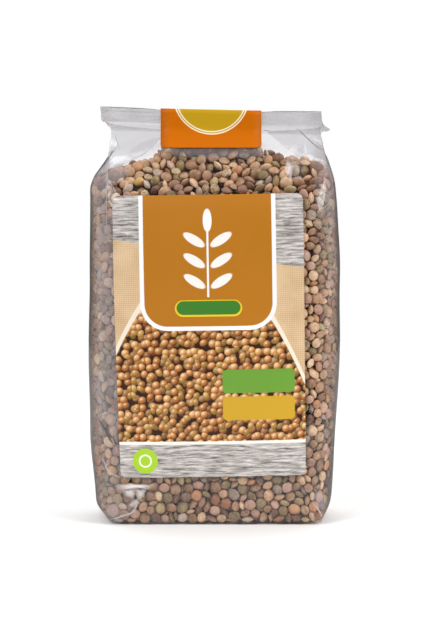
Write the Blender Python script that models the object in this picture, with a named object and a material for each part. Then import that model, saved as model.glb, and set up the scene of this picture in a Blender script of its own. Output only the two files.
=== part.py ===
"""Clear film bag filled with dry lentils, standing on its flat base.

The bag is a tube of film with a side panel (gusset) on each side. The filled body bulges,
the base is folded flat, and above the lentils the tube closes like the gable of a carton:
the front and the back lean together while both side panels tuck in between them. The flat
top is sealed, folded over the crest to the back and held down by a sticker. A printed label
lies on the front.

Units are metres. +Z is up, the front faces -Y, and the origin is the middle of the base.
Run it with: blender --background --python part.py
"""

import math

import bmesh
import bpy
from mathutils import Vector, noise
from mathutils.bvhtree import BVHTree

MM = 0.001

# The film tube
PANEL_WIDTH = 86 * MM  # front and back panel, laid flat
FRONT_BULGE = 3.4 * MM  # how far the filled front stands proud of its creases
BACK_BULGE = 3.6 * MM
PLY_HALF = 0.6 * MM  # half the thickness of the flattened top

# Heights of the features
NECK = 153.5 * MM  # the tube is flat from here up
CREST = 161.2 * MM  # the fold along the top, at the middle
CREST_SLOPE = -0.022  # the crest falls towards +X
CREST_SHIFT = -1.4 * MM  # and sits a little to the left of the base
# Places and lifts in mm along the crest, which the sticker pulls down between its two ends
CREST_LIFT = ((-45, 0.55), (-25.6, 0.1), (-20.8, -0.5), (17.7, -0.5), (22.5, 0.1), (42, 0.5))

# The sealed flap behind the crest
FLAP_LENGTH = 6.9 * MM
FLAP_HALF_THICKNESS = 0.45 * MM
FLAP_SLOPE = 2.2 * CREST_SLOPE  # folded over a slanted crest, it slants more
SEAL_HEIGHT = 2.2 * MM
SEAL_OVERHANG = 3.5 * MM  # the seal's end sticks out beside the bag

# The front label
LABEL_WIDTH = 73.6 * MM
LABEL_HEIGHT = 109.8 * MM
LABEL_CENTRE = (-1.9 * MM, 74.15 * MM)
LABEL_TURN = math.radians(0.9)
LABEL_CORNER = 2.6 * MM
LABEL_DRAWN_IN = (1.25 * MM, 0.2 * MM)  # its lower corners, left and right, turn back with the bag

# The sticker over the crest
STICKER_WIDTH = 39.6 * MM
STICKER_CENTRE = -1.4 * MM
STICKER_FRONT_END = 146.2 * MM  # height of its front edge
STICKER_BACK_END = 138.5 * MM
STICKER_CORNER = 1.6 * MM
CREST_DROP = 1.2 * MM  # the sticker starts to bend this far under the crest

LABEL_GAP = 0.3 * MM
LABEL_THICKNESS = 0.35 * MM

# Mesh density
PANEL_STEPS = 18  # across the front, and across the back
FOLD_STEPS = 3  # between two stations of a side panel
CORNER_PASSES = 2

# Half widths at the four creases, left and right, by height
LEFT_CREASE = (
    (0, 40.6), (40, 41.6), (120, 41.8), (150, 41.6), (154, 42.4), (158, 44.4), (162, 44.8),
)
RIGHT_CREASE = (
    (0, 41.6), (40, 42.2), (120, 42.4), (142, 43.4), (150, 43.2), (154, 42.6), (158, 41.9),
    (162, 41.7),
)

# Half depth at the creases, by height
HALF_DEPTH = (
    (0, 21.0), (10, 22.2), (40, 22.6), (110, 22.4), (124, 21.4), (130, 18.9), (142, 9.9),
    (153.5, 0.6),
)

# Middle line of each side panel: it bulges out, then tucks in between front and back
LEFT_MIDDLE = (
    (0, 42.4), (3, 44.8), (6.5, 46.9), (9, 47.1), (17, 48.1), (33, 49.8), (60, 50.0), (90, 49.9),
    (110, 49.4), (130, 48.7), (137, 41.0), (144, 25.4), (148, 21.4), (153.5, 17.2),
)
RIGHT_MIDDLE = (
    (0, 42.8), (4, 45.4), (8, 46.6), (12, 46.9), (25, 47.6), (48, 49.2), (75, 49.9),
    (102, 49.7), (120, 48.4), (131, 46.9), (138, 40.0), (145, 28.4), (153.5, 18.8),
)

# The slanted folds of each side panel, between its middle line and its front and back creases
LEFT_FOLD = (
    (0, 41.9), (3.5, 44.8), (6.5, 46.7), (12, 46.8), (33, 48.2), (110, 48.0), (127, 48.4),
    (131.8, 48.9), (142.6, 42.2), (146, 38.2), (153.5, 32.0),
)
RIGHT_FOLD = (
    (0, 42.3), (4, 44.6), (9, 46.0), (48, 47.8), (102, 48.2), (133, 47.6),
    (139.5, 45.8), (144.2, 43.8), (153.5, 31.8),
)

ROWS = (
    0, 0.8, 2.6, 4.6, 6.6, 9.5, 14, 20, 26, 33, 41, 50, 60, 70, 80, 90, 99, 107, 114, 120, 124.5, 128,
    130.5, 132.4, 135, 138, 141, 144, 147, 150, 152.2, 153.5, 154.2, 157, 159.6, 161.2,
)


def clear_scene():
    for old in list(bpy.data.objects):
        bpy.data.objects.remove(old, do_unlink=True)


def through(keys, place_mm):
    """A smooth curve through (place, value) keys in millimetres, straight beyond its ends."""
    if place_mm <= keys[0][0]:
        return keys[0][1]
    if place_mm >= keys[-1][0]:
        return keys[-1][1]
    at = next(i for i in range(1, len(keys)) if place_mm <= keys[i][0])
    (z0, v0), (z1, v1) = keys[at - 1], keys[at]
    slope = (v1 - v0) / (z1 - z0)
    before, after = slope, slope
    if at > 1:
        before = limited(slope, (v0 - keys[at - 2][1]) / (z0 - keys[at - 2][0]))
    if at < len(keys) - 1:
        after = limited(slope, (keys[at + 1][1] - v1) / (keys[at + 1][0] - z1))
    t = (place_mm - z0) / (z1 - z0)
    span = z1 - z0
    return (
        v0 * (1 + 2 * t) * (1 - t) ** 2
        + v1 * t * t * (3 - 2 * t)
        + span * t * (1 - t) * (before * (1 - t) - after * t)
    )


def limited(one, other):
    """A slope between two that never overshoots: their harmonic mean, or 0 where the signs differ."""
    return 0.0 if one * other <= 0 else 2 * one * other / (one + other)


def material(name, colour, roughness):
    made = bpy.data.materials.new(name)
    made.use_nodes = True
    shader = made.node_tree.nodes["Principled BSDF"]
    shader.inputs["Base Color"].default_value = (*colour, 1)
    shader.inputs["Roughness"].default_value = roughness
    shader.inputs["Metallic"].default_value = 0
    return made


def add_object(name, verts, faces, finish):
    mesh = bpy.data.meshes.new(name)
    mesh.from_pydata(verts, [], faces)
    mesh.validate()
    mesh.shade_smooth()
    mesh.set_sharp_from_angle(angle=math.radians(35))
    made = bpy.data.objects.new(name, mesh)
    bpy.context.scene.collection.objects.link(made)
    if finish:
        mesh.materials.append(finish)
    return made


def arch(share):
    """1 in the middle of a panel and 0 at its edges."""
    return 4 * share * (1 - share)


def panel(start, end, bulge):
    """Points from crease to crease, the last left out, bulging by so much along Y."""
    points = []
    for step in range(PANEL_STEPS):
        share = step / PANEL_STEPS
        point = start.lerp(end, share)
        point.y += bulge * arch(share)
        points.append(point)
    return points


def side_panel(stations, sharpness):
    """Points through a side panel's stations, the last left out: an arc in the body, folds above."""
    points = []
    padded = [stations[0] * 2 - stations[1], *stations, stations[-1] * 2 - stations[-2]]
    for at in range(len(stations) - 1):
        p0, p1, p2, p3 = padded[at : at + 4]
        for step in range(FOLD_STEPS):
            t = step / FOLD_STEPS
            curved = 0.5 * (
                2 * p1
                + (p2 - p0) * t
                + (2 * p0 - 5 * p1 + 4 * p2 - p3) * t**2
                + (3 * p1 - p0 - 3 * p2 + p3) * t**3
            )
            points.append(curved.lerp(p1.lerp(p2, t), sharpness))
    return points


def stations_of(height_mm, crease, fold, middle, sign):
    """A side panel's five points at one height, from the front crease to the back crease."""
    depth = through(HALF_DEPTH, height_mm) * MM
    flat = height_mm * MM > NECK + 0.1 * MM
    edge = sign * through(crease, height_mm) * MM
    fold_x = edge + sign * 0.35 * depth if flat else sign * through(fold, height_mm) * MM
    middle_x = edge + sign * 0.5 * depth if flat else sign * through(middle, height_mm) * MM
    return [
        Vector((edge, -depth, 0)),
        Vector((fold_x, -0.52 * depth, 0)),
        Vector((middle_x, 0, 0)),
        Vector((fold_x, 0.52 * depth, 0)),
        Vector((edge, depth, 0)),
    ]


def ease(low, high, value):
    """0 below low, 1 above high, smooth between."""
    t = min(max((value - low) / (high - low), 0.0), 1.0)
    return t * t * (3 - 2 * t)


def rounded(ring, amount):
    """The ring with its corners softened."""
    for _ in range(CORNER_PASSES):
        count = len(ring)
        ring = [
            ring[i].lerp((ring[i - 1] + ring[(i + 1) % count]) / 2, amount)
            for i in range(count)
        ]
    return ring


def dented(point, strength):
    """Shallow hollows and swells where film is drawn over settled grains."""
    swell = noise.noise(point * 38) * 0.9 + noise.noise(point * 85) * 0.35
    outward = Vector((point.x * 0.5, point.y, 0)).normalized()
    return point + outward * swell * strength


def ring_at(height_mm):
    """The closed outline of the bag at one height, counter-clockwise from the front left crease."""
    height = height_mm * MM
    left = stations_of(height_mm, LEFT_CREASE, LEFT_FOLD, LEFT_MIDDLE, -1)
    right = stations_of(height_mm, RIGHT_CREASE, RIGHT_FOLD, RIGHT_MIDDLE, 1)
    fullness = ease(0, 50 * MM, height) * (1 - ease(105 * MM, 150 * MM, height))
    sharpness = ease(124 * MM, 138 * MM, height)
    left.reverse()
    ring = (
        panel(left[-1], right[0], -FRONT_BULGE * fullness)
        + side_panel(right, sharpness)
        + panel(right[-1], left[0], BACK_BULGE * fullness)
        + side_panel(left, sharpness)
    )
    ring = rounded(ring, 0.42 * ease(0, 12 * MM, height) * (1 - sharpness))
    share = ease(138 * MM, CREST, height)
    filled = ease(2 * MM, 20 * MM, height) * (1 - ease(132 * MM, 146 * MM, height))
    placed = []
    for point in ring:
        at = Vector((point.x, point.y, height))
        at = dented(at, 0.55 * MM * filled)
        at.z = height + share * (crest_height(at.x) - CREST)
        placed.append(at)
    return placed


def make_bag(finish):
    """The filled bag as one closed solid: rings joined by faces, the base and the crest capped."""
    rings = [ring_at(row) for row in ROWS]
    count = len(rings[0])
    verts = [point for ring in rings for point in ring]
    faces = []
    for row in range(len(rings) - 1):
        for i in range(count):
            nxt = (i + 1) % count
            low, high = row * count, (row + 1) * count
            faces.append((low + i, low + nxt, high + nxt, high + i))
    faces += cap(0, count, up=False)
    faces += cap((len(rings) - 1) * count, count, up=True)
    return add_object("lentil_bag", verts, faces, finish)


def cap(first, count, up):
    """Quads across a ring, from its front row of points to its back row, with fans over the side panels."""
    front = list(range(0, PANEL_STEPS + 1))
    side = 4 * FOLD_STEPS
    back = list(range(PANEL_STEPS + side, 2 * PANEL_STEPS + side + 1))
    back.reverse()
    faces = []
    for i in range(PANEL_STEPS):
        faces.append((front[i], front[i + 1], back[i + 1], back[i]))
    faces.append(tuple(range(PANEL_STEPS, PANEL_STEPS + side + 1)))
    left = list(range(2 * PANEL_STEPS + side, count)) + [0]
    faces.append(tuple(left))
    turned = [tuple(first + i for i in face) for face in faces]
    return turned if up else [tuple(reversed(face)) for face in turned]


def crest_height(x):
    return CREST + CREST_SLOPE * (x - CREST_SHIFT) + through(CREST_LIFT, x / MM) * MM


def add_flap(bag):
    """The sealed end of the tube, folded to the back, joined to the bag as one piece."""
    half = PANEL_WIDTH / 2
    left, right = CREST_SHIFT - half, CREST_SHIFT + half
    middle_y = PLY_HALF + 0.6 * FLAP_HALF_THICKNESS

    def lower(x):
        return CREST - FLAP_LENGTH + FLAP_SLOPE * (x - CREST_SHIFT)

    outline = [
        (left + 0.5 * MM, crest_height(left) - 0.25 * MM),
        (left - 0.4 * MM, lower(left) + SEAL_HEIGHT),
        (left - 0.2 * MM, lower(left)),
        (right + SEAL_OVERHANG, lower(right + SEAL_OVERHANG) + 0.5 * MM),
        (right + SEAL_OVERHANG + 0.7 * MM, lower(right + SEAL_OVERHANG) + 0.5 * SEAL_HEIGHT),
        (right + SEAL_OVERHANG, lower(right + SEAL_OVERHANG) + SEAL_HEIGHT),
        (right + 1.4 * MM, lower(right) + SEAL_HEIGHT + 0.5 * MM),
        (right - 0.6 * MM, crest_height(right) - 0.25 * MM),
    ]
    outline += [(x * MM, crest_height(x * MM) - 0.25 * MM) for x, _ in reversed(CREST_LIFT[1:-1])]
    outer = [(x, middle_y + FLAP_HALF_THICKNESS, z) for x, z in outline]
    inner = [(x, middle_y - FLAP_HALF_THICKNESS, z) for x, z in outline]
    count = len(outline)
    faces = [tuple(range(count)), tuple(reversed(range(count, 2 * count)))]
    for i in range(count):
        nxt = (i + 1) % count
        faces.append((nxt, i, count + i, count + nxt))
    flap = add_object("flap_to_join", outer + inner, faces, None)
    bm = bmesh.new()
    bm.from_mesh(flap.data)
    bmesh.ops.recalc_face_normals(bm, faces=bm.faces)
    bm.to_mesh(flap.data)
    bm.free()
    join = bag.modifiers.new("folded seal", "BOOLEAN")
    join.operation = "UNION"
    join.solver = "EXACT"
    join.object = flap
    bpy.context.view_layer.objects.active = bag
    bpy.ops.object.modifier_apply(modifier=join.name)
    bpy.data.objects.remove(flap, do_unlink=True)


def surface_of(obj):
    """A tree that answers where a ray meets this object."""
    bm = bmesh.new()
    bm.from_mesh(obj.data)
    tree = BVHTree.FromBMesh(bm)
    bm.free()
    return tree


def front_of(tree, x, z):
    """The bag's front surface at this place: the point and its normal."""
    hit, normal, _, _ = tree.ray_cast(Vector((x, -0.2, z)), Vector((0, 1, 0)))
    return hit, normal


def back_of(tree, x, z):
    hit, normal, _, _ = tree.ray_cast(Vector((x, 0.2, z)), Vector((0, -1, 0)))
    return hit, normal


def corner_inset(distance, radius):
    """How much a rounded corner takes off a row that lies so far from the sheet's end."""
    if distance >= radius:
        return 0.0
    return radius - math.sqrt(max(radius**2 - (radius - distance) ** 2, 0.0))


def add_sheet(name, rows, finish):
    """A thin closed sheet from rows of (point, outward direction)."""
    width = len(rows[0])
    inner = [p + n * LABEL_GAP for row in rows for p, n in row]
    outer = [p + n * (LABEL_GAP + LABEL_THICKNESS) for row in rows for p, n in row]
    total = len(inner)
    faces = []
    for r in range(len(rows) - 1):
        for c in range(width - 1):
            a = r * width + c
            quad = (a, a + 1, a + 1 + width, a + width)
            faces.append(quad)
            faces.append(tuple(total + i for i in reversed(quad)))
    rim = list(range(width))
    rim += [r * width + width - 1 for r in range(1, len(rows))]
    rim += [(len(rows) - 1) * width + c for c in range(width - 2, -1, -1)]
    rim += [r * width for r in range(len(rows) - 2, 0, -1)]
    for i, a in enumerate(rim):
        b = rim[(i + 1) % len(rim)]
        faces.append((b, a, total + a, total + b))
    made = add_object(name, inner + outer, faces, finish)
    bm = bmesh.new()
    bm.from_mesh(made.data)
    bmesh.ops.recalc_face_normals(bm, faces=bm.faces)
    bm.to_mesh(made.data)
    bm.free()
    return made


def drawn_in(place, across):
    """How far a place on the label moves inwards, growing from two thirds of its height to its foot."""
    share = max(1 - place / (0.7 * LABEL_HEIGHT), 0) ** 1.2
    left, right = LABEL_DRAWN_IN
    return share * (left * max(-across, 0) - right * max(across, 0))


def make_front_label(tree, finish):
    """A printed sheet that follows the front of the bag."""
    columns, lines = 16, 30
    ends = [0, 0.12, 0.45, 1.0]
    places = [LABEL_CORNER * e for e in ends]
    inside = [
        LABEL_CORNER + (LABEL_HEIGHT - 2 * LABEL_CORNER) * i / lines
        for i in range(1, lines)
    ]
    places += inside + [LABEL_HEIGHT - p for p in reversed(places)]
    turn = (math.cos(LABEL_TURN), math.sin(LABEL_TURN))
    rows = []
    for place in places:
        end = min(place, LABEL_HEIGHT - place)
        half = LABEL_WIDTH / 2 - corner_inset(end, LABEL_CORNER)
        row = []
        for c in range(columns + 1):
            u = half * (2 * c / columns - 1)
            v = place - LABEL_HEIGHT / 2
            x = LABEL_CENTRE[0] + u * turn[0] - v * turn[1] + drawn_in(place, u / half)
            z = LABEL_CENTRE[1] + u * turn[1] + v * turn[0]
            near = [front_of(tree, x, z + step)[0].y for step in (-1 * MM, 0, 1 * MM)]
            row.append((Vector((x, min(near), z)), Vector((0, -1, 0))))
        rows.append(row)
    return add_sheet("front_label", rows, finish)


def on_front(tree, x, share):
    """A point of the sticker's front part, from its lower edge at share 0 to just under the crest at 1."""
    top = crest_height(x) - CREST_DROP
    z = STICKER_FRONT_END + (top - STICKER_FRONT_END) * share
    hit, normal = front_of(tree, x, z)
    return hit, Vector((0, normal.y, 0 if share > 0.8 else max(normal.z, 0))).normalized()


def on_crest(tree, x, share):
    """A point of the part that bends over the crest, which is as thick as the film folded there."""
    near, _ = front_of(tree, x, crest_height(x) - CREST_DROP)
    far, _ = back_of(tree, x, crest_height(x) - CREST_DROP)
    turn = math.pi * (0.25 + 0.5 * share)
    at = Vector((x, near.y + (far.y - near.y) * share, crest_height(x)))
    return at, Vector((0, -math.cos(turn), math.sin(turn)))


def on_back(tree, x, share):
    """A point of the back part, which bridges the step below the sealed flap."""
    top = crest_height(x) - CREST_DROP
    z = top + (STICKER_BACK_END - top) * share
    hit, normal = back_of(tree, x, z)
    nearby = [min(z + lift * MM, top) for lift in (-1, 0, 1, 2.3)]
    hit.y = max(back_of(tree, x, at)[0].y for at in nearby)
    return hit, Vector((0, 1, 0 if z > NECK - 4 * MM else max(normal.z, 0))).normalized()


def make_sticker(tree, finish):
    """The sticker that holds the folded top: up the front, over the crest and down the back."""
    columns = 10
    front_length = CREST - STICKER_FRONT_END
    back_length = CREST - STICKER_BACK_END
    stops = [(on_front, s, s * front_length) for s in (0, 0.03, 0.09, 0.25, 0.45, 0.62, 0.82, 1)]
    stops += [(on_crest, s, STICKER_CORNER) for s in (0, 0.5, 1)]
    stops += [
        (on_back, s, (1 - s) * back_length)
        for s in (0, 0.12, 0.24, 0.36, 0.48, 0.6, 0.72, 0.84, 0.95, 0.98, 1)
    ]
    rows = []
    for place, share, end in stops:
        half = STICKER_WIDTH / 2 - corner_inset(end, STICKER_CORNER)
        across = [STICKER_CENTRE + half * (2 * c / columns - 1) for c in range(columns + 1)]
        rows.append([place(tree, x, share) for x in across])
    return add_sheet("top_sticker", rows, finish)


def main():
    clear_scene()
    film_over_lentils = material("lentils behind clear film", (0.30, 0.19, 0.12), 0.35)
    printed = material("printed label", (0.62, 0.30, 0.06), 0.45)
    sticker = material("printed sticker", (0.74, 0.22, 0.01), 0.45)
    bag = make_bag(film_over_lentils)
    add_flap(bag)
    tree = surface_of(bag)
    make_front_label(tree, printed)
    make_sticker(tree, sticker)


main()
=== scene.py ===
"""A clear film bag of dry brown lentils, with a paper label on its front and a sticker on its top.

The film is cast polypropylene, drawn tight over the lentils by their weight and loose above them,
where the side panels tuck in under the folded top. The lentils are loose: each one is a small
lens, packed against the film and its neighbours round a dark filling.
"""

import math

import bmesh
import bpy
import numpy as np
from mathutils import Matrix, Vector, noise
from mathutils.bvhtree import BVHTree
from mathutils.kdtree import KDTree


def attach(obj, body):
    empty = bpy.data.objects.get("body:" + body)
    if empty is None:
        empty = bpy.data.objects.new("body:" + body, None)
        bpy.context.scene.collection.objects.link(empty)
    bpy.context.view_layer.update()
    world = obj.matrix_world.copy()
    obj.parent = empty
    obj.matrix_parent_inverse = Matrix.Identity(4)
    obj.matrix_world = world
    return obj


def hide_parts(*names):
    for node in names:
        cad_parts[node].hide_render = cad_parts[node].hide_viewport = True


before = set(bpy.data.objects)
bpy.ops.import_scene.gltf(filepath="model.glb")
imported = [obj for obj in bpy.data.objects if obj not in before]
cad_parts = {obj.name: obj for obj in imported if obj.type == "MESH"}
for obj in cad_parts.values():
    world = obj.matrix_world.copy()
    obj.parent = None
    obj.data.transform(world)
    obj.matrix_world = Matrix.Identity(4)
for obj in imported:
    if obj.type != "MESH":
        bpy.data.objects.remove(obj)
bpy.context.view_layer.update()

MM = 0.001
RNG = np.random.default_rng(41)

# Film
# Cloudy places of the front film, one of them a painted highlight: centre, half sizes, turn in
# degrees, strength
VEIL_PATCHES = (
    (-36.5, 5.5, 6.5, 4.5, 20, 0.14),
    (-38, 136.6, 5.5, 3.2, 25, 0.34),
    (-27, 146, 9, 3, 25, 0.14),
    (0, 146.2, 25, 3.6, -1, 0.2),
    # a painted highlight: a pale streak across the lentils on the right
    (33, 141, 3, 7.5, -18, 0.1),
    (41, 9, 2.4, 5, 35, 0.22),
)
# The left side of the front film is cloudy from its edge to here: height, distance left of middle
LEFT_CLOUDY_TO = ((0, 37), (118, 37), (126, 41.7), (163, 41.7))
# How cloudy the two sides are at each height
LEFT_VEIL = ((0, 0.1), (28, 0.16), (44, 0.3), (116, 0.38), (128, 0.31))
RIGHT_VEIL = ((0, 0.02), (40, 0.03), (75, 0.09), (110, 0.2))
# Puckers of the front film: outline and peak as x and height in mm, how far the peak stands out,
# and how much of what is behind it the peak's painted highlight hides
PUCKERS = (
    (
        (
            (-39.2, 15.6), (-34, 16.4), (-28, 16.2), (-23.8, 15.9),
            (-25.8, 14), (-29, 14.6), (-33, 14.2), (-36.8, 13.4),
        ),
        (-30.8, 15.3), 0.5, 0.85,
    ),
    (
        ((-36.4, 13.5), (-31.6, 14.6), (-30.6, 12.2), (-32.2, 10.2), (-34.8, 11.3)),
        (-33, 12.8), 0.4, 0.6,
    ),
    (
        ((-30.8, 14.2), (-26.6, 14.3), (-27.4, 11.4), (-29.6, 9.8), (-30.9, 11.8)),
        (-28.9, 12.5), 0.4, 0.52,
    ),
    (
        ((-32, 10), (-29.8, 10.4), (-29, 8.6), (-31.6, 6.3), (-33.6, 7.8)),
        (-31.2, 8.6), 0.3, 0.36,
    ),
    (
        ((29.6, 147.6), (33, 147.4), (32.4, 144.2), (30.6, 141), (28.2, 141.6), (27.8, 144.6)),
        (30.4, 144.4), 0.3, 0.18,
    ),
    (
        ((28, 141.6), (30.4, 141.2), (30.3, 138), (29.8, 133.6), (28.2, 136.4), (26.9, 138.6)),
        (28.8, 138.9), 0.4, 0.52,
    ),
    (((34.7, 147.8), (36.3, 147.4), (36.1, 144), (35.2, 143.2)), (35.5, 145.6), 0.2, 0.3),
)
# Ridges of the front film: two ends, height and half width in mm
RIDGES = (
    ((-39, 16), (-24, 16), 0.5, 1.8),
    ((-40.7, 1.7), (-31.8, 4.7), 0.5, 1.6),
    ((-31.8, 4.7), (-30.1, 8.5), 0.5, 1.6),
    ((40.5, 6.5), (42.5, 1.5), 0.6, 1.5),
    ((29.5, 148), (28, 132), 0.5, 1.6),
    ((-46, 42), (-41, 31), 0.7, 1.8),
)
# Sharp creases as lines on the film: points of x and height in mm, radius, True if on the back. The
# dark lines are painted shade along the folds.
DARK_CREASES = (
    (((32, 154.4), (39, 147.7), (43.6, 145), (45.2, 142)), 0.2),
    (((-38.6, 146.4), (-43, 140.8), (-48.2, 133.4)), 0.22),
    (((-45.6, 41.2), (-43.9, 38.6), (-42.2, 36), (-40.7, 33.2), (-39.6, 31.8)), 0.44),
    (((-44, 162.42), (-25.6, 161.55), (-21.8, 161)), 0.15),
    (((18.8, 160.12), (22.5, 160.48), (40.6, 160.5)), 0.15),
    (((-43.6, 160.9), (-30, 160.4), (-22, 159.9)), 0.06),
    (((-39.3, 152.4), (-38.5, 149.4), (-37, 145.6)), 0.08),
    (((18.9, 153.3), (22.4, 152.9)), 0.12),
)
# pale lines: painted highlights along the folds
PALE_CREASES = (
    (((-41.7, 140), (-41.9, 128), (-41.9, 116)), 0.13),
    (((38.8, 158), (38.7, 146)), 0.13),
    (((-45.8, 41.8), (-43.8, 43.4), (-40.8, 44)), 0.2),
    (((-43.8, 25.6), (-42.3, 21.9), (-39.4, 19.6), (-36.4, 18.7)), 0.3),
    (((-40.7, 1.7), (-36.2, 3.3), (-31.8, 4.7), (-30.1, 8.5)), 0.3),
    (((40.2, 7), (42.6, 1.2)), 0.24),
    (((38.6, 8.2), (40.6, 5.6), (42.4, 3.2)), 0.2),
    (((-5, 150), (-5, 110), (-5.2, 60), (-5.1, 3)), 0.12, True),
    (((5, 150), (5.1, 110), (5, 60), (5.2, 3)), 0.14, True),
)
PUCKER_FOOT = 0.06  # how far off the film a pucker's outline lies, and how much it hides
CREASE_STEP = 1.5  # distance between a crease's points
CREST_SLOPE = 0.022  # the crest falls by this much for each millimetre to the right
LINES_START = 0.2  # lines dropped onto the bag start this far off it, in metres

# Lentils, in millimetres
LENTIL_WIDTH = 4.45
LENTIL_WIDTH_SPREAD = 0.5
SMALLEST, LARGEST = 3.6, 5.7
# On the right they are a little smaller low down and larger at the top: height, change of width
WIDER_AT_RIGHT = ((0, 0), (20, -0.3), (108, -0.3), (128, 0.45))
LENTIL_FATNESS = 0.52  # thickness over width
FATNESS_SPREAD = 0.035
THINNEST, FATTEST = 0.42, 0.62
FILM_CLEARANCE = 0.12
FLOOR_CLEARANCE = 0.3
PACKED_DEPTH = 6.0  # how deep below the film the lentils are made one by one
LENTILS_PER_MM3 = 0.0262
SEED_BOX = ((-50, 50), (-27, 27), (1, 152))
MAY_TOUCH = 6.2  # lentils further apart than this cannot touch
FLAT_SHARE, FLAT_SHARE_LOOSE = 0.72, 0.3  # how many lie flat on the film, low down and on top
ROUNDS, QUICK_ROUNDS = 70, 24
PUSH, TWIST = 0.36, 0.10  # how much an overlap moves and turns two lentils in one round
DRAW, LAST_DRAW = 0.10, 0.03  # how far a round draws them against the film, or down on top
LONGEST_MOVE = 0.9
# Top of the heap: height at each distance from the middle
HEAP_TOP = (
    (-49, 129), (-45, 136.5), (-41, 140.5), (-36, 142.8), (-28, 144.8), (-21, 148.2), (-8, 151.4),
    (6, 151.8), (16, 151.2), (20, 148.4), (27, 146.4), (34, 144.2), (40, 142.4), (44, 139.5),
    (49, 131),
)
HEAP_FALL = 0.006  # times the distance to front or back squared
LOOSE_ABOVE = 124  # from here up the lentils fill the bag right through
FILLING_TOP = 134.5
FILLING_DEPTH = 3.6

# Label and sticker
LABEL_SIZE = (73.6, 109.8)
LABEL_CENTRE = (-1.9, 74.15)
LABEL_TURN = math.radians(0.9)
LABEL_CORNER = 2.6
LABEL_DRAWN_IN = (1.25, 0.2)  # its lower corners, left and right, turn back with the bag
LABEL_OFF_FILM = 0.34
STICKER_CENTRE = -1.4
STICKER_CREST = 161.3  # height of the fold over the top
DISC_CENTRE = (0.0, 5.2)  # behind the crest, so that the disc's front part hangs over it
PAPER = 0.14

# The picture: 421 x 631 px, 2.52 px to the millimetre at the bag
CAMERA_DISTANCE = 1.0
CAMERA_ELEVATION = math.radians(6)
CAMERA_TARGET = (-1.6, 0, 79.9)
PICTURE_HEIGHT = 0.2502
SENSOR_HEIGHT = 24


def linear(code):
    """An sRGB hex colour as linear RGBA."""
    channels = [int(code[i : i + 2], 16) / 255 for i in (1, 3, 5)]
    return (*[c / 12.92 if c <= 0.04045 else ((c + 0.055) / 1.055) ** 2.4 for c in channels], 1)


def add(tree, kind, inputs=None, **settings):
    """Adds a shader node, sets its options, and fills its sockets with values or links."""
    made = tree.nodes.new(kind)
    for name, value in settings.items():
        setattr(made, name, value)
    for socket, value in (inputs or {}).items():
        if isinstance(value, bpy.types.NodeSocket):
            tree.links.new(value, made.inputs[socket])
        elif isinstance(value, bpy.types.Node):
            tree.links.new(next(o for o in value.outputs if o.enabled), made.inputs[socket])
        else:
            made.inputs[socket].default_value = value
    return made


def new_material(name):
    made = bpy.data.materials.new(name)
    made.use_nodes = True
    made.node_tree.nodes.clear()
    return made, made.node_tree


def finished(material, shader):
    """Puts a shader on a material's surface."""
    add(material.node_tree, "ShaderNodeOutputMaterial", {"Surface": shader})
    return material
def set_stops(ramp, *stops):
    """Gives a colour ramp its stops, each a place and a hex colour."""
    elements = ramp.color_ramp.elements
    for place, _ in stops[1:-1]:
        elements.new(place)
    for element, (place, code) in zip(elements, stops):
        element.position = place
        element.color = linear(code)
def along(keys, at):
    """The value at a place along (place, value) keys, straight between them."""
    places, values = zip(*keys)
    return np.interp(at, places, values)


def deselect():
    if bpy.context.mode != "OBJECT":
        bpy.ops.object.mode_set(mode="OBJECT")
    bpy.ops.object.select_all(action="DESELECT")


def make_active(obj):
    deselect()
    obj.select_set(True)
    bpy.context.view_layer.objects.active = obj


def settle(obj):
    """Puts a finished piece's place into its mesh."""
    make_active(obj)
    bpy.ops.object.transform_apply(location=True, rotation=True, scale=True)


def modify(obj, name, kind, **settings):
    """Puts a modifier on a piece and applies it."""
    made = obj.modifiers.new(name, kind)
    for setting, value in settings.items():
        setattr(made, setting, value)
    make_active(obj)
    bpy.ops.object.modifier_apply(modifier=name)


def join_as(pieces, name, finish):
    """Joins pieces into one, with a name and a material of its own."""
    deselect()
    for piece in pieces:
        piece.select_set(True)
    bpy.context.view_layer.objects.active = pieces[0]
    bpy.ops.object.join()
    made = bpy.context.active_object
    made.name = name
    made.data.materials.clear()
    made.data.materials.append(finish)
    return made


def edit(obj, *steps):
    """Runs edit mode steps on the whole of one object."""
    make_active(obj)
    bpy.ops.object.mode_set(mode="EDIT")
    bpy.ops.mesh.select_all(action="SELECT")
    for step in steps:
        step()
    bpy.ops.object.mode_set(mode="OBJECT")


def in_scene(name, data):
    made = bpy.data.objects.new(name, data)
    bpy.context.scene.collection.objects.link(made)
    return made


def own_copy(node_name, name):
    """A CAD node's shape as a new piece with its loose triangles merged."""
    made = in_scene(name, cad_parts[node_name].data.copy())
    made.data.name = name
    made.data.materials.clear()
    edit(made, lambda: bpy.ops.mesh.remove_doubles(threshold=0.00001))
    return made


def tree_of(obj):
    bm = bmesh.new()
    bm.from_mesh(obj.data)
    bmesh.ops.recalc_face_normals(bm, faces=bm.faces)
    made = BVHTree.FromBMesh(bm)
    bm.free()
    return made


def meet(tree, x, z, from_back=False):
    """Where a line straight in from the front or the back, x and z in metres, meets a shape."""
    side = 1 if from_back else -1
    return tree.ray_cast(Vector((x, side * LINES_START, z)), Vector((0, -side, 0)))[0]


def vertex_values(obj, name, values):
    layer = obj.data.attributes.new(name, "FLOAT", "POINT")
    layer.data.foreach_set("value", np.asarray(values, np.float32))


def vectors_of(items, field):
    """The places or normals of a mesh's points as rows of numbers."""
    found = np.empty(len(items) * 3, np.float32)
    items.foreach_get(field, found)
    return found.reshape(-1, 3).astype(np.float64)


def smoothstep(low, high, value):
    t = np.clip((value - low) / (high - low), 0, 1)
    return t * t * (3 - 2 * t)


def painted(tree, picture, *layers):
    """Layers of colour over a ground, each where its shape or share says."""
    for where, colour in layers:
        picture = add(
            tree, "ShaderNodeMix", {"Factor": where, "A": picture, "B": colour}, data_type="RGBA"
        )
    return picture


# Lentils


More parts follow.
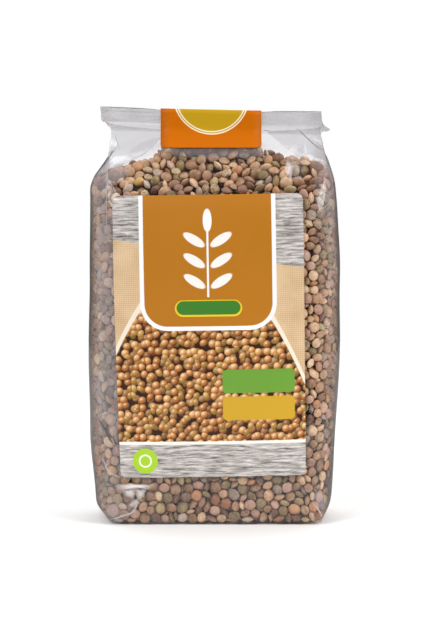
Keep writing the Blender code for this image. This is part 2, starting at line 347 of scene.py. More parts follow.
def film_query(tree, points):
    """How far inside the film points in millimetres are, and its outward direction there."""
    inside = np.empty(len(points))
    outward = np.empty((len(points), 3))
    for i, point in enumerate(points):
        place, normal, _, _ = tree.find_nearest(Vector(point) * MM)
        away = np.array(place) / MM - point
        distance = float(np.linalg.norm(away))
        side = float(np.dot(away, normal))
        inside[i] = distance if side > 0 else -distance
        outward[i] = away / distance * (1 if side > 0 else -1) if distance > 0.05 else normal
    return inside, outward


def heap_height(points):
    return along(HEAP_TOP, points[:, 0]) - HEAP_FALL * points[:, 1] ** 2


def seed_points(tree):
    """Places scattered evenly through the layer of lentils that can be seen."""
    step = (1 / LENTILS_PER_MM3) ** (1 / 3)
    axes = [np.arange(low, high, step) for low, high in SEED_BOX]
    grid = np.stack(np.meshgrid(*axes, indexing="ij"), -1).reshape(-1, 3)
    grid += RNG.uniform(-0.42, 0.42, grid.shape) * step
    grid = grid[grid[:, 2] < heap_height(grid) - 1]
    inside, outward = film_query(tree, grid)
    shown = (inside > 0.9) & ((inside < PACKED_DEPTH) | (grid[:, 2] > LOOSE_ABOVE))
    return grid[shown], outward[shown]


def reach(axis, width, fatness, direction):
    """How far a lentil reaches from its middle in a direction."""
    lean = np.einsum("ij,ij->i", axis, direction) ** 2
    return 0.5 * width * np.sqrt(1 - lean + fatness**2 * lean)


def touching_pairs(points, radius):
    tree = KDTree(len(points))
    for i, point in enumerate(points):
        tree.insert(point, i)
    tree.balance()
    pairs = []
    for i, point in enumerate(points):
        pairs += [(i, j) for _, j, _ in tree.find_range(point, radius) if j > i]
    return np.array(pairs)


def contact_distance(axis, width, fatness, first, second, direction):
    """How far apart the middles of two lentils are when they touch, as for two ellipsoids."""
    shape = np.zeros((len(axis), 3, 3))
    half = (0.5 * width) ** 2
    shape[:] = np.eye(3) * half[:, None, None]
    shape -= axis[:, :, None] * axis[:, None, :] * (half * (1 - fatness**2))[:, None, None]
    both = np.linalg.inv(shape[first] + shape[second])
    return np.sqrt(2 / np.einsum("ki,kij,kj->k", direction, both, direction))


def pack_lentils(tree):
    """Settles the lentils against the film and each other: places, axes, widths and fatness."""
    points, outward = seed_points(tree)
    count = len(points)
    width = np.clip(RNG.normal(LENTIL_WIDTH, LENTIL_WIDTH_SPREAD, count), SMALLEST, LARGEST)
    at_right = smoothstep(18, 36, points[:, 0])
    width += at_right * along(WIDER_AT_RIGHT, points[:, 2])
    fatness = np.clip(RNG.normal(LENTIL_FATNESS, FATNESS_SPREAD, count), THINNEST, FATTEST)
    loose = RNG.normal(size=(count, 3))
    flat_share = np.where(points[:, 2] < LOOSE_ABOVE, FLAT_SHARE, FLAT_SHARE_LOOSE)
    flat = RNG.random(count) < flat_share
    axis = np.where(flat[:, None], outward * 3.2 + loose, loose)
    axis /= np.linalg.norm(axis, axis=1)[:, None]
    rounds = ROUNDS
    up = np.tile([0, 0, 1.0], (count, 1))
    for turn in range(rounds):
        if turn % 4 == 0:
            pairs = touching_pairs(points, MAY_TOUCH)
        first, second = pairs[:, 0], pairs[:, 1]
        between = points[second] - points[first]
        apart = np.linalg.norm(between, axis=1) + 1e-9
        direction = between / apart[:, None]
        need = contact_distance(axis, width, fatness, first, second, direction)
        overlap = np.clip(need - apart, 0, 2)
        push = direction * (PUSH * overlap)[:, None]
        move = np.zeros_like(points)
        np.add.at(move, first, -push)
        np.add.at(move, second, push)
        twist = np.zeros_like(points)
        for which in (first, second):
            lean = np.einsum("ij,ij->i", direction, axis[which])
            np.add.at(twist, which, direction * (lean * overlap * TWIST)[:, None])
        _, outward = film_query(tree, points)
        pull = DRAW if turn < rounds * 0.75 else LAST_DRAW
        loosely = smoothstep(LOOSE_ABOVE - 4, LOOSE_ABOVE + 6, points[:, 2])[:, None]
        move += pull * (outward * (1 - loosely) + np.array([0, 0, -0.7]) * loosely)
        length = np.linalg.norm(move, axis=1)
        points += move * np.minimum(1, LONGEST_MOVE / np.maximum(length, 1e-9))[:, None]
        # those that stick out through the film are put back inside and laid flat against it
        inside, outward = film_query(tree, points)
        room = reach(axis, width, fatness, outward) + FILM_CLEARANCE
        short = np.clip(room - inside, 0, 6)
        points -= outward * short[:, None]
        lean = np.einsum("ij,ij->i", outward, axis)
        twist += outward * (lean * np.clip(short, 0, 1.0) * 0.22)[:, None]
        tall = reach(axis, width, fatness, up)
        points[:, 2] = np.clip(points[:, 2], tall + FLOOR_CLEARANCE, heap_height(points) - tall)
        axis += twist
        axis /= np.linalg.norm(axis, axis=1)[:, None]
    inside, outward = film_query(tree, points)
    room = reach(axis, width, fatness, outward) + FILM_CLEARANCE * 0.5
    standing = points[:, 2] > reach(axis, width, fatness, up) + 0.1
    kept = (inside > room - 0.15) & standing
    return points[kept], axis[kept], width[kept], fatness[kept]


def lentil_form():
    """A lentil of width 1, a lens with a narrow rim: points, faces and how far out each is."""
    deselect()
    bpy.ops.mesh.primitive_uv_sphere_add(segments=10, ring_count=6, radius=0.5)
    form = bpy.context.active_object
    points = vectors_of(form.data.vertices, "co")
    radial = np.hypot(points[:, 0], points[:, 1]) * 2
    points[:, 2] *= 1 - 0.44 * smoothstep(0.4, 1.0, radial)
    faces = [tuple(face.vertices) for face in form.data.polygons]
    bpy.data.objects.remove(form, do_unlink=True)
    return points, faces, radial


def turned(axis, spin):
    """Rotation matrices that stand each lentil's axis along its own direction, spun round it."""
    helper = np.where(np.abs(axis[:, 2:3]) < 0.9, [[0, 0, 1.0]], [[1.0, 0, 0]])
    side = np.cross(helper, axis)
    side /= np.linalg.norm(side, axis=1)[:, None]
    other = np.cross(axis, side)
    x = side * np.cos(spin)[:, None] + other * np.sin(spin)[:, None]
    y = np.cross(axis, x)
    return np.stack([x, y, axis], axis=2)


def lentil_piece(name, form, places, axis, width, fatness, finish):
    """All lentils of one kind as one mesh, each with its own tone, plus painted shade and light by
    where it lies in the bag.
    """
    points, faces, radial = form
    count = len(places)
    spin = RNG.uniform(0, 2 * math.pi, count)
    oval = RNG.uniform(0.95, 1.03, count)
    stretch = np.stack([width, width * oval, width * fatness], axis=1)
    local = points[None] * stretch[:, None, :]
    placed = np.einsum("nij,nkj->nki", turned(axis, spin), local) + places[:, None, :]
    mesh = bpy.data.meshes.new(name)
    faces_at = [
        tuple(corner + i * len(points) for corner in face) for i in range(count) for face in faces
    ]
    mesh.from_pydata((placed.reshape(-1, 3) * MM).tolist(), [], faces_at)
    mesh.shade_smooth()
    mesh.materials.append(finish)
    made = in_scene(name, mesh)
    # painted shade makes the lentils a little darker towards the bottom of the bag, and painted
    # light makes them lighter up its sides
    tone_and_light = RNG.random(count) - 0.24 * smoothstep(85, 25, places[:, 2])
    tone_and_light += 0.16 * smoothstep(30, 40, np.abs(places[:, 0])) * smoothstep(45, 75, places[:, 2])
    vertex_values(made, "tone_and_light", np.repeat(tone_and_light, len(points)))
    vertex_values(made, "shade", np.repeat(RNG.random(count), len(points)))
    vertex_values(made, "rim", np.tile(np.clip(radial, 0, 1), count))
    return made


def lentil_finish(name, dark, mid, light, speckle=0.0):
    """Dry lentil seed coat: smooth and half matt, finely mottled, a little paler on its rim."""
    made, tree = new_material(name)
    place = add(tree, "ShaderNodeTexCoord").outputs["Object"]
    tone_and_light, shade, rim = [
        add(tree, "ShaderNodeAttribute", attribute_name=which).outputs["Fac"]
        for which in ("tone_and_light", "shade", "rim")
    ]
    # patches about 1.6 mm across, shifted lighter or darker by the lentil's own tone and by its
    # painted shade and light
    patches = add(
        tree, "ShaderNodeTexNoise",
        {"Vector": place, "Scale": 620, "Detail": 3, "Roughness": 0.6},
    ).outputs["Fac"]
    spread = add(tree, "ShaderNodeMath", {0: tone_and_light, 1: 0.74, 2: -0.36}, operation="MULTIPLY_ADD")
    mixed = add(tree, "ShaderNodeMath", {0: patches, 1: 0.96, 2: spread}, operation="MULTIPLY_ADD")
    ramp = add(tree, "ShaderNodeValToRGB", {"Fac": mixed})
    set_stops(ramp, (0.08, dark), (0.5, mid), (0.92, light))
    edge = add(tree, "ShaderNodeMath", {0: rim, 1: 6}, operation="POWER")
    edge = add(tree, "ShaderNodeMath", {0: edge, 1: 0.08}, operation="MULTIPLY")
    colour = painted(tree, ramp.outputs["Color"], (edge, linear(light)))
    if speckle:
        spots = add(
            tree, "ShaderNodeTexNoise",
            {"Vector": place, "Scale": 1500, "Detail": 2, "Roughness": 0.7},
        )
        cut = add(
            tree, "ShaderNodeMapRange",
            {"Value": spots.outputs["Fac"], "From Min": 0.54, "From Max": 0.60, "To Max": speckle},
        )
        colour = painted(tree, colour, (cut, linear("#3a2b22")))
    gloss = add(tree, "ShaderNodeMath", {0: shade, 1: 0.16, 2: 0.40}, operation="MULTIPLY_ADD")
    relief = add(tree, "ShaderNodeBump", {"Height": patches, "Strength": 0.25, "Distance": 0.0003})
    shader = add(
        tree, "ShaderNodeBsdfPrincipled",
        {"Base Color": colour, "Roughness": gloss, "Normal": relief, "IOR": 1.5},
    )
    return finished(made, shader)


# Kinds of lentil: share of all, then dark, middle and light tone of the seed coat, and speckle
KINDS = (
    ("lentils_brown", 0.20, "#845e41", "#c3946f", "#edc69f", 0),
    ("lentils_tan", 0.20, "#997451", "#d5ad86", "#f4d6b0", 0),
    ("lentils_dark_brown", 0.15, "#694936", "#a67b5c", "#d1a684", 0),
    ("lentils_rosy_brown", 0.14, "#88624f", "#bd9079", "#d6b09b", 0),
    ("lentils_olive_brown", 0.10, "#7f683f", "#af9262", "#d2ba8a", 0.25),
    ("lentils_grey_brown", 0.07, "#7e685a", "#b19985", "#d8c3af", 0),
    ("lentils_rust", 0.06, "#955d38", "#c48759", "#dcac80", 0),
    ("lentils_speckled", 0.06, "#886e47", "#bc9c72", "#ddbe9a", 0.9),
    ("lentils_split", 0.005, "#b07433", "#d49b4c", "#e9c17d", 0),
)


def make_lentils(bag_tree):
    places, axis, width, fatness = pack_lentils(bag_tree)
    form = lentil_form()
    order = RNG.permutation(len(places))
    made = []
    start = 0
    shares = np.cumsum([kind[1] for kind in KINDS])
    shares = shares / shares[-1]
    for (name, _, dark, mid, light, speckle), end_share in zip(KINDS, shares):
        end = int(round(end_share * len(places)))
        pick = order[start:end]
        start = end
        finish = lentil_finish(name.replace("lentils", "seed coat"), dark, mid, light, speckle)
        made.append(
            lentil_piece(name, form, places[pick], axis[pick], width[pick], fatness[pick], finish)
        )
    print("lentils:", len(places))
    return made


def make_filling():
    """The mass of lentils deep in the bag, a dark surface of painted shade which shows only between
    the outer ones.
    """
    made = own_copy("lentil_bag", "lentil_filling")
    edit(
        made,
        lambda: bpy.ops.mesh.bisect(
            plane_co=(0, 0, FILLING_TOP * MM), plane_no=(0, 0, 1), use_fill=True, clear_outer=True
        ),
        lambda: bpy.ops.mesh.select_all(action="SELECT"),
        lambda: bpy.ops.mesh.normals_make_consistent(inside=False),
    )
    modify(made, "sink", "DISPLACE", strength=-FILLING_DEPTH * MM, mid_level=0)
    made.data.shade_smooth()
    finish, tree = new_material("lentils deep in the bag, painted shade")
    place = add(tree, "ShaderNodeTexCoord")
    # cells about as wide as a lentil, each darker towards its edge: painted shade between the
    # lentils
    cells = add(tree, "ShaderNodeTexVoronoi", {"Vector": place.outputs["Object"], "Scale": 210})
    ramp = add(tree, "ShaderNodeValToRGB", {"Fac": cells.outputs["Distance"]})
    set_stops(ramp, (0.0, "#2e1f17"), (1.0, "#100a07"))
    shader = add(
        tree, "ShaderNodeBsdfPrincipled", {"Base Color": ramp.outputs["Color"], "Roughness": 0.8}
    )
    made.data.materials.append(finished(finish, shader))
    return made


# Film


def film_finish():
    """Cast polypropylene film, 40 micron: clear, glossy on both sides, cloudy in its creases."""
    made, tree = new_material("cast polypropylene film")
    place = add(tree, "ShaderNodeTexCoord")
    veil, dark_edge = [
        add(tree, "ShaderNodeAttribute", attribute_name=which).outputs["Fac"]
        for which in ("veil", "dark_edge")
    ]
    # slow waves 12 to 18 mm long, where the film bridges the hollows between the lentils
    waves_at = add(
        tree, "ShaderNodeMapping", {"Vector": place.outputs["Object"], "Scale": (55.0, 55.0, 85.0)}
    )
    waves = add(
        tree, "ShaderNodeTexNoise",
        {"Vector": waves_at, "Scale": 1, "Detail": 2, "Roughness": 0.45},
    )
    relief = add(
        tree, "ShaderNodeBump",
        {"Height": waves.outputs["Fac"], "Strength": 0.35, "Distance": 0.0012},
    )
    view = add(tree, "ShaderNodeLayerWeight", {"Blend": 0.5})
    bent_view = add(tree, "ShaderNodeLayerWeight", {"Blend": 0.5, "Normal": relief})
    rim = add(
        tree, "ShaderNodeMapRange",
        {"Value": view.outputs["Facing"], "From Min": 0.45, "From Max": 0.88, "To Max": dark_edge},
        interpolation_type="SMOOTHSTEP",
    )
    # painted shade: what shows through and the cloud itself both darken where the film turns away
    tint = painted(tree, linear("#fbfbfc"), (rim, linear("#3a302c")))
    cloud = painted(tree, linear("#b8b3b7"), (rim, linear("#4c403b")))
    clear = add(tree, "ShaderNodeBsdfTransparent", {"Color": tint})
    milky = add(
        tree, "ShaderNodeBsdfPrincipled",
        {"Base Color": cloud, "Roughness": 0.35, "Normal": relief, "IOR": 1.49},
    )
    body = add(tree, "ShaderNodeMixShader", {0: veil, 1: clear.outputs[0], 2: milky.outputs[0]})
    gloss = add(
        tree, "ShaderNodeBsdfGlossy", {"Color": (1, 1, 1, 1), "Roughness": 0.10, "Normal": relief}
    )
    facing = bent_view.outputs["Facing"]
    grazing = add(tree, "ShaderNodeMath", {0: facing, 1: 5}, operation="POWER")
    mirror = add(tree, "ShaderNodeMath", {0: grazing, 1: 0.25, 2: 0.04}, operation="MULTIPLY_ADD")
    shine = add(tree, "ShaderNodeMixShader", {0: mirror, 1: body, 2: gloss})
    return finished(made, shine)


def fold_finish(name, colour, clear, cover=None):
    """Film doubled over or buckled: it hides a share of what is behind it, or as its values say.
    Its colour is painted: shade on the dark creases, a highlight on the pale creases and puckers.
    """
    made, tree = new_material(name)
    if cover is None:
        cover = add(tree, "ShaderNodeAttribute", attribute_name="cover").outputs["Fac"]
    through = add(tree, "ShaderNodeBsdfTransparent", {"Color": (clear, clear, clear, 1)})
    lit = add(
        tree, "ShaderNodeBsdfPrincipled",
        {"Base Color": linear(colour), "Roughness": 0.3, "IOR": 1.49},
    )
    body = add(tree, "ShaderNodeMixShader", {0: cover, 1: through.outputs[0], 2: lit.outputs[0]})
    return finished(made, body)


def unevenness(points, across, up, shift=0):
    """Smooth noise at points in millimetres, with a scale across the bag and one up it."""
    return np.array([
        noise.noise(Vector((x * across, y * across, z * up + shift))) for x, y, z in points
    ])


def under_flap(z, normals):
    """1 on the film that faces down under the folded top, 0 elsewhere."""
    return smoothstep(144, 146, z) * smoothstep(0.25, 0.6, -normals[:, 2])


def film_values(points, normals):
    """How cloudy the film is at each of its points, from 0 to 1."""
    points = points / MM
    x, y, z = points.T
    rough = unevenness(points, 0.16, 0.11)
    fine = unevenness(points, 0.5, 0.35, 9)
    front = smoothstep(2, -2, y)
    head = smoothstep(141, 148, z)
    # the left side, a little clearer round its corner
    left = smoothstep(-0.4, 0.4, -x - along(LEFT_CLOUDY_TO, z))
    corner = smoothstep(45.4, 46.6, -x) * smoothstep(124, 116, z)
    veil = 0.006 + along(LEFT_VEIL, z) * left * (1 - 0.45 * corner)
    # the right side and the foot, and a band on the right under the head
    veil += along(RIGHT_VEIL, z) * smoothstep(36.0, 46.0, x) + 0.03 * front * smoothstep(24, 12, z)
    veil += 0.10 * smoothstep(38.2, 38.9, x) * smoothstep(112, 128, z) * (1 - head)
    # the head, most where it turns to the sides, and clearer beyond the seam at its left
    veil += head * (0.045 + 0.07 * smoothstep(0.3, 0.7, np.abs(normals[:, 0])))
    veil *= 1 - 0.50 * head * smoothstep(41.4, 42.1, -x)
    # the strip of the seam on the back
    veil += 0.10 * smoothstep(5.5, 4.8, np.abs(x)) * smoothstep(2, 8, y) * smoothstep(151, 148, z)
    # the folded top, in two steps as its layers add up
    level = z + CREST_SLOPE * x
    veil += 0.16 * smoothstep(151.8, 153.0, level) + 0.17 * smoothstep(155.0, 156.2, level)
    veil *= 1 - 0.4 * under_flap(z, normals)
    veil *= 1 + 0.35 * rough + 0.25 * fine
    # cloudy patches, and the painted highlight among them
    for (cx, cz, rx, rz, turn, strength) in VEIL_PATCHES:
        dx, dz = x - cx, z - cz
        c, t = math.cos(math.radians(turn)), math.sin(math.radians(turn))
        far = np.hypot((dx * c + dz * t) / rx, (dz * c - dx * t) / rz)
        veil += front * strength * smoothstep(1.05, 0.75, far + 0.25 * fine)
    return np.clip(veil, 0, 0.8)


def dark_edge_values(points, normals):
    """How much painted shade darkens the film where it turns away: most at the sides, hardly under
    the flap.
    """
    z = points[:, 2] / MM
    at_side = 0.25 + 0.75 * smoothstep(0.3, 0.75, np.abs(normals[:, 0]))
    above_floor = 0.35 + 0.65 * smoothstep(1, 6, z)
    below_head = 1 - 0.45 * smoothstep(138, 146, z)
    return at_side * above_floor * below_head * (1 - 0.9 * under_flap(z, normals))


def folded(points, normals):
    """Ridges of the front film: they stand out by a fraction of a millimetre."""
    x, y, z = (points / MM).T
    rise = np.zeros(len(points))
    for (x0, z0), (x1, z1), height, width in RIDGES:
        dx, dz = x1 - x0, z1 - z0
        t = np.clip(((x - x0) * dx + (z - z0) * dz) / (dx * dx + dz * dz), 0, 1)
        far = np.hypot(x - x0 - t * dx, z - z0 - t * dz)
        ends = np.sqrt(np.sin(math.pi * np.clip(t, 0.02, 0.98)))
        rise += height * np.clip(1 - far / width, 0, 1) * ends
    return points + normals * (rise * (y < -6) * MM)[:, None]


def make_film():
    made = own_copy("lentil_bag", "clear_film_bag")
    edit(made, lambda: bpy.ops.mesh.tris_convert_to_quads(face_threshold=0.6, shape_threshold=0.6))
    modify(made, "finer", "SUBSURF", levels=2, render_levels=2)
    made.data.shade_smooth()
    normals = vectors_of(made.data.vertex_normals, "vector")
    points = folded(vectors_of(made.data.vertices, "co"), normals)
    made.data.vertices.foreach_set("co", points.astype(np.float32).ravel())
    made.data.update()
    vertex_values(made, "veil", film_values(points, normals))
    vertex_values(made, "dark_edge", dark_edge_values(points, normals))
    made.data.materials.append(film_finish())
    return made


def fold_edge(target_tree, keys, radius, from_back=False):
    """A crease in the film as a fine strand along its face, through points of x and height."""
    deselect()
    bpy.ops.curve.primitive_bezier_curve_add()
    made = bpy.context.active_object
    curve = made.data
    curve.splines.clear()
    keys = np.array(keys, float)
    lengths = np.concatenate([[0], np.cumsum(np.hypot(*np.diff(keys, axis=0).T))])
    count = max(int(lengths[-1] / CREASE_STEP), 4)
    at = np.linspace(0, lengths[-1], count)
    xs, zs = np.interp(at, lengths, keys[:, 0]), np.interp(at, lengths, keys[:, 1])
    found = [meet(target_tree, x * MM, z * MM, from_back) for x, z in zip(xs, zs)]
    found = [place for place in found if place]
    spline = curve.splines.new("POLY")
    spline.points.add(len(found) - 1)
    for i, (point, place) in enumerate(zip(spline.points, found)):
        point.co = (*place, 1)
        # thin at both ends
        point.radius = 0.25 + 0.75 * math.sqrt(max(math.sin(math.pi * i / (len(found) - 1)), 0))
    curve.bevel_depth = radius * MM
    curve.bevel_resolution = 1
    curve.dimensions = "3D"
    bpy.ops.object.convert(target="MESH")
    made = bpy.context.active_object
    settle(made)
    made.data.shade_smooth()
    return made


def make_fold_edges(film_tree):
    groups = (
        # the dark strands are painted shade, the pale ones painted highlights
        ("film_creases_painted_shade", DARK_CREASES, "polypropylene film, sharp fold, painted shade", "#6f6b70", 0.62),
        ("film_creases_painted_highlight", PALE_CREASES, "polypropylene film, soft fold, painted highlight", "#efe8e6", 0.45),
    )
    made = []
    for name, creases, material, colour, cover in groups:
        finish = fold_finish(material, colour, 0.96, cover)
        strands = [fold_edge(film_tree, *crease) for crease in creases]
        made.append(join_as(strands, name, finish))
    return made


def make_puckers(film_tree):
    """Small facets where the film is pushed in and buckled, as fans of triangles round a peak, pale
    with a painted highlight.
    """
    sheets = []
    for outline, peak, rise, highlight_share in PUCKERS:
        deselect()
        bpy.ops.mesh.primitive_circle_add(vertices=len(outline), radius=1, fill_type="TRIFAN")
        sheet = bpy.context.active_object
        at_peak = [vertex.co.length < 0.5 for vertex in sheet.data.vertices]
        rim = iter(outline)
        for vertex, top in zip(sheet.data.vertices, at_peak):
            x, z = peak if top else next(rim)
            hit = meet(film_tree, x * MM, z * MM)
            vertex.co = (hit.x, hit.y - (rise if top else PUCKER_FOOT) * MM, hit.z)
        vertex_values(sheet, "cover", [highlight_share if top else PUCKER_FOOT for top in at_peak])
        edit(sheet, lambda: bpy.ops.mesh.normals_make_consistent(inside=False))
        if sheet.data.polygons[0].normal.y > 0:
            edit(sheet, lambda: bpy.ops.mesh.flip_normals())
        modify(sheet, "film", "SOLIDIFY", thickness=0.05 * MM, offset=1)
        sheets.append(sheet)
    # their near-white colour is a painted highlight
    finish = fold_finish("polypropylene film, buckled facets, painted highlight", "#fdf5f4", 1.0)
    return join_as(sheets, "film_puckers", finish)


# Label and sticker


def gridded_sheet(name, size, corner, steps):
    """A flat sheet of paper with rounded corners, cut into a grid and mapped in millimetres."""
    deselect()
    bpy.ops.mesh.primitive_plane_add(size=1, location=(0, 0, 0), rotation=(math.pi / 2, 0, 0))
    made = bpy.context.active_object
    made.name = name
    made.scale = (size[0] * MM, size[1] * MM, 1)
    settle(made)
    edit(
        made,
        lambda: bpy.ops.mesh.bevel(
            offset=corner * MM, offset_type="OFFSET", segments=6, affect="VERTICES"
        ),
    )
    cuts = [((i / steps[0] - 0.5) * size[0] * MM, (1, 0, 0)) for i in range(1, steps[0])]
    cuts += [((i / steps[1] - 0.5) * size[1] * MM, (0, 0, 1)) for i in range(1, steps[1])]

    def cut_all():
        for place, normal in cuts:
            bpy.ops.mesh.select_all(action="SELECT")
            middle = (place * normal[0], 0, place * normal[2])
            bpy.ops.mesh.bisect(plane_co=middle, plane_no=normal)

    edit(made, cut_all)
    layers = made.data.uv_layers
    layer = layers[0] if layers else layers.new(name="print")
    layer.name = "print"
    for loop in made.data.loops:
        at = made.data.vertices[loop.vertex_index].co
        layer.data[loop.index].uv = (at.x / MM + size[0] / 2, at.z / MM + size[1] / 2)
    return made


def draw_in(made):
    """Brings the label's lower sides inwards, where the paper turns back with the bag's foot."""
    for vertex in made.data.vertices:
        across = vertex.co.x / MM / (LABEL_SIZE[0] / 2)
        place = vertex.co.z / MM + LABEL_SIZE[1] / 2
        share = max(1 - place / (0.7 * LABEL_SIZE[1]), 0) ** 1.2
        left, right = LABEL_DRAWN_IN
        vertex.co.x += share * (left * max(-across, 0) - right * max(across, 0)) * MM


def lay_on(made, target_tree, offset):
    """Drops each point of a stiff sheet straight back onto the bag's front."""
    for vertex in made.data.vertices:
        near = [
            meet(target_tree, vertex.co.x, vertex.co.z + step).y for step in (-1 * MM, 0, 1 * MM)
        ]
        vertex.co.y = min(near) - offset


def make_front_label(bag_tree):
    made = gridded_sheet("front_label_paper", LABEL_SIZE, LABEL_CORNER, (24, 36))
    draw_in(made)
    made.rotation_euler = (0, -LABEL_TURN, 0)
    made.location = (LABEL_CENTRE[0] * MM, 0, LABEL_CENTRE[1] * MM)
    settle(made)
    lay_on(made, bag_tree, LABEL_OFF_FILM * MM)
    modify(made, "paper", "SOLIDIFY", thickness=PAPER * MM, offset=1)
    made.data.shade_smooth()
    made.data.set_sharp_from_angle(angle=math.radians(40))
    made.data.materials.append(label_finish())
    return made


def make_sticker(bag_tree):
    """The sticker keeps the solid's own drape over the crest, and is mapped in millimetres."""
    made = own_copy("top_sticker", "top_sticker_paper")
    layer = made.data.uv_layers.new(name="print")
    points = vectors_of(made.data.vertices, "co") / MM
    front = points[:, 1] < 0.4
    crest = STICKER_CREST - CREST_SLOPE * (points[:, 0] - STICKER_CENTRE)
    run = np.where(front, crest - points[:, 2], points[:, 2] - crest)
    for loop in made.data.loops:
        i = loop.vertex_index
        layer.data[loop.index].uv = (points[i, 0] - STICKER_CENTRE, -run[i])
    made.data.shade_smooth()
    made.data.set_sharp_from_angle(angle=math.radians(50))
    made.data.materials.append(sticker_finish())
    made.data.materials.append(underside_finish())
    for face in made.data.polygons:
        to_film = bag_tree.find_nearest(face.center)[0] - face.center
        if face.normal.dot(to_film.normalized()) > 0.5:
            face.material_index = 1
    return made


def coated(made, colour, shine):
    """Coated paper: a closed satin surface with a trace of fibre under the coat."""
    tree = made.node_tree
    place = add(tree, "ShaderNodeTexCoord")
    fibre = add(
        tree, "ShaderNodeTexNoise",
        {"Vector": place.outputs["Object"], "Scale": 900, "Detail": 4, "Roughness": 0.6},
    )
    gloss = add(
        tree, "ShaderNodeMapRange", {"Value": fibre.outputs["Fac"], "To Min": 0.38, "To Max": 0.50}
    )
    relief = add(
        tree, "ShaderNodeBump",
        {"Height": fibre.outputs["Fac"], "Strength": 0.08, "Distance": 0.0002},
    )
    shader = add(
        tree, "ShaderNodeBsdfPrincipled",
        {
            "Base Color": colour, "Roughness": gloss, "Normal": relief, "IOR": 1.5,
            "Specular IOR Level": shine,
        },
    )
    return finished(made, shader)


def up_to(value, start, end):
    """What a Map Range needs to give 1 up to the start and 0 from the end on."""
    return {"Value": value, "From Min": start, "From Max": end, "To Min": 1, "To Max": 0}


def inside_box(tree, at, centre, half, corner, soft=0.12):
    """1 inside a box with rounded corners on the print, 0 outside it."""
    nothing = (0, 0, 0)
    flat = (half[0] - corner, half[1] - corner, 0)
    steps = (
        ("SUBTRACT", (*centre, 0)), ("ABSOLUTE", nothing), ("SUBTRACT", flat), ("MAXIMUM", nothing),
    )
    away = at
    for step, value in steps:
        away = add(tree, "ShaderNodeVectorMath", {0: away, 1: value}, operation=step)
    far = add(tree, "ShaderNodeVectorMath", {0: away}, operation="LENGTH").outputs["Value"]
    return add(tree, "ShaderNodeMapRange", up_to(far, corner - soft, corner + soft))


def inside_oval(tree, at, centre, half, turn=0.0, soft=0.12):
    """1 inside an oval on the print, 0 outside it."""
    place = {"Vector": at, "Location": (*centre, 0), "Rotation": (0, 0, turn), "Scale": (*half, 1)}
    own = add(tree, "ShaderNodeMapping", place, vector_type="TEXTURE")
    far = add(tree, "ShaderNodeVectorMath", {0: own}, operation="LENGTH").outputs["Value"]
    edge = soft / min(half)
    return add(tree, "ShaderNodeMapRange", up_to(far, 1 - edge, 1 + edge))


def round_spots(tree, at, centre, spots):
    """Round spots one on the other, given as radius and colour, as layers of a print."""
    return [
        (inside_oval(tree, at, centre, (radius, radius)), linear(colour))
        for radius, colour in spots
    ]


def printed_strokes(tree, at):
    """A grey ground of fine uneven strokes, half a millimetre to one apart."""
    along_at = add(tree, "ShaderNodeMapping", {"Vector": at, "Scale": (0.11, 1.1, 1.0)})
    strokes = add(
        tree, "ShaderNodeTexNoise",
        {"Vector": along_at, "Scale": 1, "Detail": 6, "Roughness": 0.72, "Distortion": 0.4},
    )
    ramp = add(tree, "ShaderNodeValToRGB", {"Fac": strokes.outputs["Fac"]})
    set_stops(ramp, (0.34, "#4b4643"), (0.47, "#a8a19c"), (0.64, "#e9e4e0"))
    return ramp


def printed_threads(tree, at):
    """A beige ground crossed by threads 0.7 mm apart."""
    across, down = [
        add(
            tree, "ShaderNodeTexWave",
            {"Vector": at, "Scale": scale, "Distortion": 1.5, "Detail": 2},
            bands_direction=way,
        )
        for way, scale in (("X", 0.45), ("Y", 0.40))
    ]
    both = add(
        tree, "ShaderNodeMath", {0: across.outputs["Fac"], 1: down.outputs["Fac"]}, operation="ADD"
    )
    cloud = add(tree, "ShaderNodeTexNoise", {"Vector": at, "Scale": 0.09, "Detail": 3})
    both = add(
        tree, "ShaderNodeMath", {0: both, 1: 0.25, 2: cloud.outputs["Fac"]},
        operation="MULTIPLY_ADD",
    )
    ramp = add(tree, "ShaderNodeValToRGB", {"Fac": both})
    set_stops(ramp, (0.45, "#c8a57a"), (1.0, "#e6c9a2"))
    return ramp


